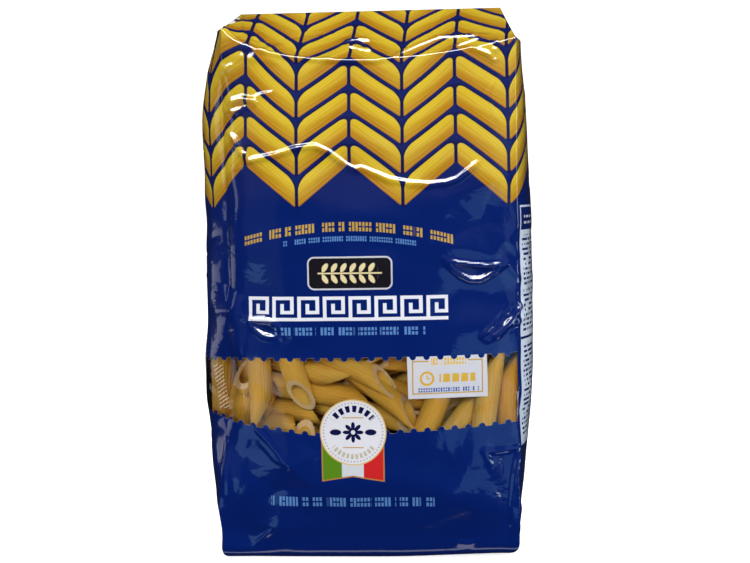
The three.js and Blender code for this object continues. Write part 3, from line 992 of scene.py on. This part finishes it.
def heap():
    """Middles, directions and turns of all the penne: the near ones first, then seeded ones behind them."""
    middles, axes, turns = [], [], []
    for x, z, heading, depth, lean, turn in NEAR_PENNE:
        axis = pointing(math.radians(heading), math.radians(lean))
        middles.append(np.array([x, front_of(x) + depth, z]) + axis * TUBE_LENGTH / 2)
        axes.append(axis)
        turns.append(turn)
    dice = np.random.default_rng(3)
    for _ in range(30):
        angle, tilt = dice.uniform(0, 2 * math.pi), dice.uniform(-0.3, 0.3)
        axes.append(pointing(angle, tilt))
        x, z = dice.uniform(-36, 36), dice.uniform(36, 84)
        middles.append(np.array([x, front_of(x) + dice.uniform(14, 28), z]))
        turns.append(dice.uniform(0, 360))
    return np.array(middles), np.array(axes), turns


def settle(middles, axes, near):
    """Pushes the tubes apart and behind the film, while the near ones hold to their places.

    Each tube is a rod between two ends, so that it can turn as it is pushed.
    """
    half = TUBE_LENGTH / 2
    starts, ends = middles - axes * half, middles + axes * half
    wanted = starts.copy(), ends.copy()
    x_places = np.arange(-GRID_X, GRID_X + 1.0)
    y_places = np.arange(-GRID_Y, GRID_Y + 1.0)
    front = clear_of_film(np.arange(-76.0, 82.5, 0.5), 0, 1, x_places, 0.0)
    left_side = clear_of_film(np.arange(-56.0, -114.5, -0.5), 1, 0, y_places, -99.0)
    first, second = np.triu_indices(len(middles), 1)
    for step in range(PUSHES):
        middles = (starts + ends) / 2
        axes = (ends - starts) / np.linalg.norm(ends - starts, axis=1, keepdims=True)
        apart_middles = middles[first] - middles[second]
        turn = (axes[first] * axes[second]).sum(1)
        along_first = (axes[first] * apart_middles).sum(1)
        along_second = (axes[second] * apart_middles).sum(1)
        spare = np.maximum(1 - turn**2, 1e-3)
        reach = half - 1.5
        at_first = np.clip((turn * along_second - along_first) / spare, -reach, reach)
        at_second = np.clip(turn * at_first + along_second, -reach, reach)
        at_first = np.clip(turn * at_second - along_first, -reach, reach)
        gap = apart_middles + axes[first] * at_first[:, None] - axes[second] * at_second[:, None]
        distance = np.linalg.norm(gap, axis=1)
        push = np.maximum(2 * TUBE_RADIUS + TUBE_GAP - distance, 0) / np.maximum(distance, 0.05) * 0.4
        push = push[:, None] * gap
        for which, at, sign in ((first, at_first, 1), (second, at_second, -1)):
            share = (at / half + 1)[:, None] / 2
            hold = np.where((which < near)[:, None], [[0.3, 1.6, 0.3]], [[1.0, 1.4, 1.0]]) * sign
            np.add.at(starts, which, push * hold * (1 - share))
            np.add.at(ends, which, push * hold * share)
        spring = np.array([0.2, 0.08, 0.2]) * (1 if step < FIRM_PUSHES else 0.15)
        starts[:near] += (wanted[0][:near] - starts[:near]) * spring
        ends[:near] += (wanted[1][:near] - ends[:near]) * spring
        for share in np.linspace(-0.15, 1.15, 11):
            place = starts + (ends - starts) * share
            row = np.clip(np.rint(place[:, 2]), 0, GRID_HEIGHT - 1).astype(int)
            column = np.clip(np.rint(place[:, 0]) + GRID_X, 0, 2 * GRID_X).astype(int)
            proud = np.maximum(front[row, column] - place[:, 1], 0) * 0.7
            starts[:, 1] += proud * np.clip(1 - share, 0, 1)
            ends[:, 1] += proud * np.clip(share, 0, 1)
            column = np.clip(np.rint(place[:, 1]) + GRID_Y, 0, 2 * GRID_Y).astype(int)
            shift = (np.clip(place[:, 0], left_side[row, column], HEAP_RIGHT) - place[:, 0]) * 0.6
            starts[:, 0] += shift * np.clip(1 - share, 0, 1)
            ends[:, 0] += shift * np.clip(share, 0, 1)
        for tips in (starts, ends):
            tips[near:, 1] = np.maximum(tips[near:, 1], SEEDED_FRONT)
            tips[:, 1] = np.minimum(tips[:, 1], HEAP_BACK)
            tips[:, 2] = np.clip(tips[:, 2], HEAP_BOTTOM, HEAP_TOP)
        middles = (starts + ends) / 2
        axes = (ends - starts) / np.linalg.norm(ends - starts, axis=1, keepdims=True)
        starts, ends = middles - axes * half, middles + axes * half
    return middles, axes


def penne_tube():
    """One ridged tube along y with slanted parallel ends, in metres. Its cut ends are the second finish."""
    bm = bmesh.new()
    steps = 4
    outer = [(TUBE_RADIUS, TUBE_LENGTH * (step / steps - 0.5)) for step in range(steps + 1)]
    inner = [(BORE_RADIUS, TUBE_LENGTH * (0.5 - step / steps)) for step in range(steps + 1)]
    profile = [bm.verts.new((radius * MM, along * MM, 0)) for radius, along in outer + inner]
    edges = [bm.edges.new(pair) for pair in zip(profile, profile[1:] + profile[:1])]
    bmesh.ops.spin(
        bm,
        geom=profile + edges,
        cent=(0, 0, 0),
        axis=(0, 1, 0),
        angle=2 * math.pi,
        steps=TUBE_SIDES,
        use_merge=True,
    )
    bmesh.ops.remove_doubles(bm, verts=bm.verts, dist=0.000001)
    bmesh.ops.recalc_face_normals(bm, faces=bm.faces)
    grain = bm.loops.layers.uv.new("grain")
    for face in bm.faces:
        face.material_index = int(abs(face.normal.y) > 0.9)
        face.smooth = face.material_index == 0
        middle = face.calc_center_median()
        centre = math.atan2(middle.z, middle.x)
        for loop in face.loops:
            angle = math.atan2(loop.vert.co.z, loop.vert.co.x)
            angle += 2 * math.pi * round((centre - angle) / (2 * math.pi))
            loop[grain].uv = (angle * 4, loop.vert.co.y / MM)
    for vertex in bm.verts:
        x, y, z = vertex.co
        radius = math.hypot(x, z)
        if radius > (TUBE_RADIUS + BORE_RADIUS) / 2 * MM:
            swell = 1 + RIB_DEPTH * MM / radius * math.cos(math.atan2(z, x) * RIB_COUNT)
            x, z = x * swell, z * swell
        vertex.co = (x, y - z * CUT_SLANT, z)
    return bm


def make_penne(finishes):
    """All the penne as one piece."""
    middles, axes, turns = heap()
    middles, axes = settle(middles, axes, len(NEAR_PENNE))
    tube = penne_tube()
    single = bpy.data.meshes.new("one_penne")
    tube.to_mesh(single)
    tube.free()
    bm = bmesh.new()
    for index, (middle, axis, turn) in enumerate(zip(middles, axes, turns)):
        upright = np.array([0.0, 1.0, 0.0]) - axis[1] * axis
        upright /= np.linalg.norm(upright)
        side = np.cross(axis, upright)
        turned = Matrix((side, axis, upright)).transposed().to_4x4()
        place = Matrix.Translation(Vector(middle * MM)) @ turned
        place = place @ Matrix.Rotation(math.radians(turn), 4, "Y")
        before = len(bm.verts)
        bm.from_mesh(single)
        bm.verts.ensure_lookup_table()
        bmesh.ops.transform(bm, matrix=place, verts=bm.verts[before:])
        grain = bm.loops.layers.uv["grain"]
        faces = {face for vertex in bm.verts[before:] for face in vertex.link_faces}
        for face in faces:
            for loop in face.loops:
                loop[grain].uv += Vector((index * 60.0, index * 80.0))
    mesh = bpy.data.meshes.new("penne_heap")
    bm.to_mesh(mesh)
    bm.free()
    bpy.data.meshes.remove(single)
    pasta = add_object("penne_heap", mesh)
    for finish in finishes:
        mesh.materials.append(finish)
    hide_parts("penne")
    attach(pasta, BODY)


def make_core(finish):
    """The inside of the heap behind the penne that can be seen, as a lumpy closed sheet whose dark finish is
    painted shade.
    """
    bottom, top, thick = 22.0, 106.0, 12
    height = top - bottom
    back = height + thick
    foot = back + height
    around = foot + thick
    columns = spread((-51, 51, 60))
    rows = spread((0, height, 50), (height, back, 8), (back, foot, 50), (foot, around, 8))

    def place(u, v):
        ahead = (v < height) | (v > foot + thick / 2)
        behind = np.where(v < foot, top - (v - back), bottom)
        z = np.where(v < height, bottom + v, np.where(v < back, top, behind))
        depth = np.where(v < height, 0, np.where(v < back, v - height, np.where(v < foot, thick, around - v)))
        lumpy = 1.2 * np.sin(u * 0.62 + z * 0.21) * np.cos(z * 0.55 - u * 0.1) * ahead
        y = 4 + lumpy + depth
        return np.stack([u * (1 - 0.02 * depth / thick), y, z], axis=-1)

    core = sheet("painted_shade_core", columns, rows, place)
    core.data.materials.append(finish)
    tidy_mesh(core)
    close_ends(core)
    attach(core, BODY)


def close_ends(piece):
    """Fills the open ends of a tube-like piece."""
    bm = bmesh.new()
    bm.from_mesh(piece.data)
    open_edges = [edge for edge in bm.edges if edge.is_boundary]
    bmesh.ops.holes_fill(bm, edges=open_edges, sides=0)
    bmesh.ops.recalc_face_normals(bm, faces=bm.faces)
    bm.to_mesh(piece.data)
    bm.free()


def pasta_finish():
    """Amber pasta with darker streaks along it and pale specks."""
    finish = Finish("dried pasta")
    u, v, _ = finish.places("grain")
    streak = finish.noise(finish.spot(u * 0.9, v * 0.09), 1.0, 3.0, 0.6)
    speck = finish.noise(finish.spot(u * 2.1, v * 1.6), 1.0, 2.0)
    tone = finish.noise(finish.spot(u * 0.016, v * 0.012), 1.0, 1.0)
    colour = finish.mix(finish.above(tone, 0.5, 0.4), ink(238, 181, 60), ink(248, 206, 98))
    colour = finish.mix(finish.above(streak, 0.52, 0.5) * 0.4, colour, ink(208, 152, 44))
    colour = finish.mix(finish.above(speck, 0.62, 0.1) * 0.2, colour, ink(244, 220, 150))
    normal = finish.bump(speck * 0.4 + streak * 0.5, 0.00015)
    values = {"Base Color": colour, "Roughness": 0.55, "Subsurface Weight": 0.25, "Normal": normal}
    values |= {"Subsurface Radius": (0.002, 0.001, 0.0004), "Subsurface Scale": 1.0}
    return finish.finish(finish.principled(values))


def cut_finish():
    """The paler, floury cut ends."""
    finish = Finish("cut pasta")
    _, _, flat = finish.places("grain")
    speck = finish.noise(flat, 1.3, 3.0)
    colour = finish.mix(finish.above(speck, 0.5, 0.4), ink(255, 210, 150), ink(255, 226, 178))
    values = {"Base Color": colour, "Roughness": 0.8, "Subsurface Weight": 0.2}
    values |= {"Subsurface Radius": (0.002, 0.001, 0.0005), "Subsurface Scale": 1.0}
    values |= {"Normal": finish.bump(speck, 0.0003)}
    return finish.finish(finish.principled(values))


def painted_shade_finish():
    finish = Finish("pasta with painted shade")
    cloud = finish.noise(finish.node("ShaderNodeTexCoord").outputs["Object"], 120.0, 3.0)
    # Painted shade: pasta browns darkened to look deep in the heap's shadow, mottled at random.
    colour = finish.mix(cloud, ink(104, 62, 14), ink(170, 118, 44))
    values = {"Base Color": colour, "Roughness": 0.9}
    return finish.finish(finish.principled(values))


# The stage, the lights and the camera


def make_stage():
    """A pale floor that curves up into a wall all round."""
    flat, bend, bend_length, wall_length = 1500, 700, 1100, 1600
    wall = flat + bend_length
    rows = spread((0, flat, 24), (flat, wall, 30), (wall, wall + wall_length, 8))
    columns = spread((0, 360, 96))

    def place(u, v):
        angle = np.radians(u)
        curve = np.clip((v - flat) / bend_length, 0, 1) * math.pi / 2
        reach = np.minimum(v, flat) + bend * np.sin(curve)
        height = bend * (1 - np.cos(curve)) + np.clip(v - wall, 0, None)
        return np.stack([reach * np.cos(angle), reach * np.sin(angle), height - 0.02], axis=-1)

    stage = sheet("stage", columns, rows, place)
    tidy_mesh(stage, merge=0.0001, outward=False)
    finish = Finish("pale stage")
    cloud = finish.noise(finish.node("ShaderNodeTexCoord").outputs["Object"], 3.0, 2.0)
    colour = finish.mix(cloud, (0.86, 0.86, 0.87, 1), (0.9, 0.9, 0.9, 1))
    values = {"Base Color": colour, "Roughness": 0.9, "Specular IOR Level": 0.1}
    values |= {"Emission Color": (1, 1, 1, 1), "Emission Strength": 0.75}
    stage.data.materials.append(finish.finish(finish.principled(values)))
    stage.visible_glossy = False
    stage.visible_diffuse = False


def make_world():
    """Even white light on everything, and a dim blue room in what mirrors it."""
    world = bpy.data.worlds.new("room")
    bpy.context.scene.world = world
    world.use_nodes = True
    nodes, links = world.node_tree.nodes, world.node_tree.links
    nodes.clear()
    output = nodes.new("ShaderNodeOutputWorld")
    path = nodes.new("ShaderNodeLightPath")
    mixed = nodes.new("ShaderNodeMixShader")
    links.new(path.outputs["Is Glossy Ray"], mixed.inputs[0])
    for slot, colour, strength in ((1, (1, 1, 1, 1), 0.42), (2, (0.35, 0.4, 0.7, 1), 0.03)):
        room = nodes.new("ShaderNodeBackground")
        room.inputs["Color"].default_value = colour
        room.inputs["Strength"].default_value = strength
        links.new(room.outputs[0], mixed.inputs[slot])
    links.new(mixed.outputs[0], output.inputs[0])


# The packet's middle, in metres.
MIDDLE = Vector((0, 0, 0.1))


def softbox(name, place, width, height, power, colour=(1, 1, 1)):
    """A soft rectangular light turned to the packet's middle, all lengths in metres."""
    light = bpy.data.lights.new(name, "AREA")
    light.shape = "RECTANGLE"
    light.size = width
    light.size_y = height
    light.energy = power
    light.color = colour
    lamp = add_object(name, light)
    lamp.location = place
    lamp.rotation_euler = (MIDDLE - Vector(place)).to_track_quat("-Z", "Y").to_euler()
    return lamp


def glint(name, azimuth, elevation, away, width, height, brightness, colour=(1, 1, 1)):
    """A card that only glossy surfaces see, at an angle round and above the packet's middle."""
    turn, lift = math.radians(azimuth), math.radians(elevation)
    place = Vector((math.sin(turn) * math.cos(lift), -math.cos(turn) * math.cos(lift), math.sin(lift))) * away
    power = brightness * math.pi * width * height
    lamp = softbox(name, place + MIDDLE, width, height, power, colour)
    lamp.visible_diffuse = False
    lamp.visible_transmission = False


def make_lights():
    """Soft lights that no glossy surface mirrors, and the cards that only those mirror."""
    softbox("top_light", (0.0, -0.5, 1.15), 1.0, 0.6, 6.0).visible_glossy = False
    softbox("left_light", (-1.0, -0.9, 0.5), 0.4, 0.7, 2.4).visible_glossy = False
    softbox("right_light", (1.1, -0.6, 0.6), 0.4, 0.8, 5.4).visible_glossy = False
    softbox("front_light", (0.1, -1.3, 0.5), 1.0, 0.3, 7.8).visible_glossy = False
    softbox("back_light", (0.0, 1.2, 0.6), 0.8, 0.6, 4.5).visible_glossy = False
    glint("high_window", 4, 62, 1.2, 0.9, 0.38, 26, (1.0, 0.98, 0.95))
    glint("left_window", -78, 20, 1.2, 0.2, 0.8, 1.2, (0.85, 0.92, 1.0))
    glint("right_window", 84, 18, 1.2, 0.25, 0.9, 5, (0.85, 0.95, 1.0))
    glint("left_wall", -38, 4, 1.3, 0.6, 0.9, 0.1, (0.55, 0.75, 0.9))
    glint("right_wall", 34, 4, 1.3, 0.4, 0.9, 0.36, (0.5, 0.8, 1.0))
    glint("left_end", -103, -6, 1.0, 0.5, 0.12, 0.9, (0.9, 0.92, 1.0))
    glint("low_left", -43, -19, 1.0, 0.54, 0.25, 1.0, (0.3, 0.62, 1.0))
    glint("low_right", 32, -16, 1.0, 0.75, 0.32, 0.8, (0.25, 0.58, 1.0))
    glint("right_foot", 75, -19, 1.0, 0.6, 0.1, 6, (0.8, 0.95, 1.0))
    glint("floor", 0, -72, 1.0, 1.6, 0.2, 1.8, (0.9, 0.92, 1.0))
    glint("high_right", 56, 51, 1.2, 1.0, 0.5, 14, (0.95, 0.98, 1.0))
    glint("high_left", -70, 46, 1.2, 1.1, 0.55, 14, (0.95, 0.98, 1.0))


def limit_bounces():
    """Few light bounces are enough here and keep the render short."""
    cycles = bpy.context.scene.cycles
    cycles.max_bounces = 6
    cycles.diffuse_bounces = 3
    cycles.glossy_bounces = 3
    cycles.transparent_max_bounces = 8


# The photograph's camera: its angles in degrees, the picture in pixels and the sensor in mm.
AZIMUTH, ELEVATION, ROLL = 3.2, 4.6, 1.0
PICTURE_WIDTH = 750
FOCAL_PIXELS = 1146
SENSOR_WIDTH = 36

# Where the camera looks, and how far it stands from there, in metres.
AIM = Vector((0.00215, 0, 0.0967))
DISTANCE = 0.423


def make_camera():
    """The photograph's view, a touch rolled."""
    azimuth, elevation, roll = (math.radians(angle) for angle in (AZIMUTH, ELEVATION, ROLL))
    level = math.cos(elevation)
    back = Vector((math.sin(azimuth) * level, -math.cos(azimuth) * level, math.sin(elevation)))
    right = Vector((math.cos(azimuth), math.sin(azimuth), 0))
    up = back.cross(right)
    side = right * math.cos(roll) - up * math.sin(roll)
    over = up * math.cos(roll) + right * math.sin(roll)
    lens = bpy.data.cameras.new("camera")
    lens.sensor_width = SENSOR_WIDTH
    lens.lens = SENSOR_WIDTH * FOCAL_PIXELS / PICTURE_WIDTH
    lens.clip_start = 0.01
    camera = add_object("camera", lens)
    turned = Matrix((side, over, back)).transposed().to_4x4()
    camera.matrix_world = Matrix.Translation(AIM + back * DISTANCE) @ turned
    bpy.context.scene.camera = camera


make_camera()
make_film([upper_film(), front_print(), window_film(), side_print(), plain_film("printed film, plain")])
make_flap(plain_film("printed film, crimped flap", coat=0.2))
make_back_seam(plain_film("printed film, back seam"))
make_penne([pasta_finish(), cut_finish()])
make_core(painted_shade_finish())
make_stage()
make_world()
make_lights()
limit_bounces()
bpy.context.scene.view_settings.view_transform = "Standard"
